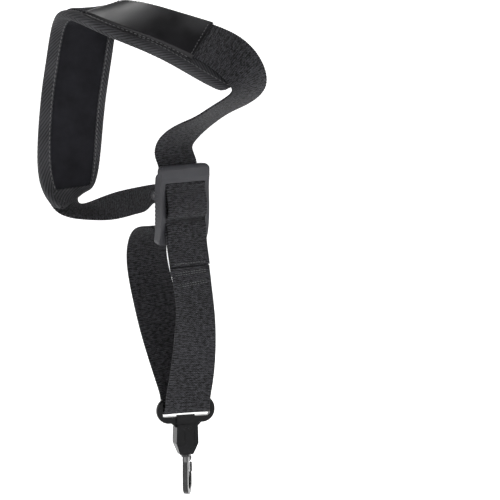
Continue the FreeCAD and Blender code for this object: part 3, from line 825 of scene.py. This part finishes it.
seam_ts, _ = pad_route.even(PAD_FROM + 0.15, PAD_TO - 0.15, 2.0)
seam_half = pad_half(seam_ts)
rows = []
for sign in (-1, 1):
    rows.append(seam_line(pad_route, seam_ts, sign * (seam_half - BIND_LAP_INSIDE[sign] + 1.3),
                          np.full(len(seam_ts), LINING_SEAM)))
    rows.append(seam_line(pad_route, seam_ts, sign * (seam_half - BIND_LAP + 0.9),
                          np.full(len(seam_ts), COVER_SEAM)))
stitches("binding_stitches", rows, "neck")


def patch_piece():
    """Leather patch moulded over the webbing, sewn down along its rim."""
    ts, runs = web_route.even(PATCH_FROM, PATCH_TO, 1.0)
    side = np.concatenate([np.linspace(-PATCH_HALF, -18.4, 14), np.linspace(-17.5, 17.5, 26),
                           np.linspace(18.4, PATCH_HALF, 14)])
    ends = end_round(runs, 2.5)[:, None]
    hump = smooth((20.9 - np.abs(side)) / 1.7)[None, :]
    top = 1.7 + 1.75 * hump + 0.35 * hump * (1 - (side / 22.0) ** 2)[None, :]
    top = top - 0.25 * (1 - ends)
    low = top - 0.8
    shift = side[None, :] * (1 - 0.015 * (1 - ends))
    sides = np.concatenate([shift, shift[:, ::-1]], axis=1)
    heights = np.concatenate([top, low[:, ::-1]], axis=1)
    foot = 1 - np.concatenate([hump, hump[:, ::-1]], axis=1)
    raised = web_route.place(ts[:, None], sides, heights)
    sunk = Route(NECK_ROUTE, WEB_SHIFT).place(ts[:, None], sides, heights)
    points = raised * (1 - foot[..., None]) + sunk * foot[..., None]
    uv = np.stack([sides, np.broadcast_to(runs[:, None], sides.shape)], -1)
    ob = tube("leather_patch_skin", points, uv, LEATHER)
    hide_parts("leather_patch")
    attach(ob, "neck")
    return ob, runs[-1] - runs[0]


patch, patch_length = patch_piece()
rim_ts, _ = web_route.even(PATCH_FROM + 0.05, PATCH_TO - 0.05, 2.0)
rim_route = Route(NECK_ROUTE, WEB_SHIFT)
rim = [seam_line(rim_route, rim_ts, np.full(len(rim_ts), s), np.full(len(rim_ts), 1.85))
       for s in (-21.6, 21.6)]
cross = np.linspace(-19.5, 19.5, 20)
for t in (PATCH_FROM + 0.14, PATCH_TO - 0.12):
    rim.append(seam_line(web_route, np.full(len(cross), t), cross, np.full(len(cross), 3.75)))
stitches("patch_stitches", rim, "neck")


# sewn tail: rows of stitches through the plies below the slider, on both faces
tack_rows = []
across = np.linspace(-16.5, 16.5, 24)
loop_top = loop_route.run[-1]
for route, run in [(end_route, 2.2)] + [(loop_route, loop_top - down) for down in TACK_ROWS]:
    t = np.full(len(across), float(route.at_run(run)))
    for face in (-1, 1):
        line = route.place(t, across, np.full(len(across), face * 0.95), True)
        away = route.place(t, across, np.full(len(across), face * 1.95), True)
        tack_rows.append((line, unit(away - line)))
stitches("tail_stitches", tack_rows, "slider", length=1.9, gap=0.7, radius=0.36)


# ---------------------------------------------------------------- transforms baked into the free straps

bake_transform(strap_left)
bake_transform(loop)


# ---------------------------------------------------------------- hard parts

def finish_node(name, material, radius, angle=35.0, segments=3):
    """Softened edges and a detailed material on a CAD node, whose own mesh stays as it is."""
    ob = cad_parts[name]
    ob.data.materials.clear()
    ob.data.materials.append(material)
    weld = ob.modifiers.new("weld", "WELD")
    weld.merge_threshold = 0.000002
    if radius:
        soft = ob.modifiers.new("soft_edges", "BEVEL")
        soft.width = radius * MM
        soft.segments = segments
        soft.limit_method = "ANGLE"
        soft.angle_limit = math.radians(angle)
        soft.harden_normals = True
        soft.use_clamp_overlap = True
    return ob


finish_node("slider_front_frame", SLIDER_PLASTIC, 0.55)
finish_node("slider_rear_shell", SLIDER_PLASTIC, 0.3)
finish_node("slider_cross_bar", STEEL, 0.2)
finish_node("slider_rear_bar", STEEL, 0.2)
finish_node("ring_housing", GLOSS_PLASTIC, 0.35)
finish_node("hook_body", HOOK_METAL, 0.7)
finish_node("gate", CHROME, 0.3)
finish_node("swivel_pin", STEEL, 0.2)
finish_node("gate_pin", STEEL, 0.15)


# ---------------------------------------------------------------- stage, light, camera

def floor_piece():
    """Pale round floor that sweeps up into a wall on every side."""
    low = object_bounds()[0].z - FLOOR_GAP
    steps = 8
    profile = [(3.0, low), (FLOOR_RADIUS, low)]
    for k in range(1, steps + 1):
        a = math.radians(90 * k / steps)
        profile.append((FLOOR_RADIUS + FLOOR_SWEEP * math.sin(a),
                        low + FLOOR_SWEEP - FLOOR_SWEEP * math.cos(a)))
    profile.append((FLOOR_RADIUS + FLOOR_SWEEP, low + WALL_TOP))
    around = 48
    turns = [2 * math.pi * k / around for k in range(around)]
    verts = [(reach * math.cos(turn), reach * math.sin(turn), z)
             for turn in turns for reach, z in profile]
    verts.append((0.0, 0.0, low))
    count = len(profile)
    faces = []
    for k in range(around):
        here, there = k * count, (k + 1) % around * count
        faces.append((len(verts) - 1, here, there))
        faces += [(here + r, here + r + 1, there + r + 1, there + r) for r in range(count - 1)]
    me = bpy.data.meshes.new("backdrop")
    me.from_pydata(verts, [], faces)
    me.polygons.foreach_set("use_smooth", [True] * len(me.polygons))
    ob = bpy.data.objects.new("backdrop", me)
    bpy.context.scene.collection.objects.link(ob)
    g = Graph("backdrop_paint", Roughness=0.95, Specular_IOR_Level=0.1)
    g.colour(g.ramp(g.noise(3.0), 0.3, 0.7, (0.93, 0.93, 0.93), (0.95, 0.95, 0.95)))
    g.shader.inputs["Emission Color"].default_value = (1.0, 1.0, 1.0, 1.0)
    g.shader.inputs["Emission Strength"].default_value = 0.95
    me.materials.append(g.material)


def soft_light(name, at, aim, size, power):
    lamp = bpy.data.lights.new(name, "AREA")
    lamp.shape = "RECTANGLE"
    lamp.size, lamp.size_y = size
    lamp.energy = power
    ob = bpy.data.objects.new(name, lamp)
    ob.location = at
    ob.rotation_euler = (Vector(aim) - Vector(at)).to_track_quat("-Z", "Y").to_euler()
    bpy.context.scene.collection.objects.link(ob)


floor_piece()
world = bpy.data.worlds.new("studio")
bpy.context.scene.world = world
world.use_nodes = True
world.node_tree.nodes["Background"].inputs["Color"].default_value = (1.0, 1.0, 1.0, 1.0)
world.node_tree.nodes["Background"].inputs["Strength"].default_value = 0.05

soft_light("key", (1.0, -1.3, 0.75), LIGHT_AIM, (0.7, 0.7), 4.6)
soft_light("fill", (-1.3, -1.0, 0.4), LIGHT_AIM, (0.5, 1.2), 3.5)
soft_light("top", (-0.2, 0.5, 1.1), (0.03, 0.0, 0.0), (0.8, 0.3), 7.0)

camera = bpy.data.cameras.new("camera")
camera.sensor_width = 36.0
camera.lens = 270.0
camera_at = bpy.data.objects.new("camera", camera)
camera_at.location = Vector(CAMERA_AIM) + CAMERA_AWAY * Vector(
    (0.0, -math.cos(CAMERA_TILT), math.sin(CAMERA_TILT)))
camera_at.rotation_euler = (math.radians(90) - CAMERA_TILT, 0.0, 0.0)
bpy.context.scene.collection.objects.link(camera_at)
bpy.context.scene.camera = camera_at
bpy.context.scene.view_settings.view_transform = "Standard"
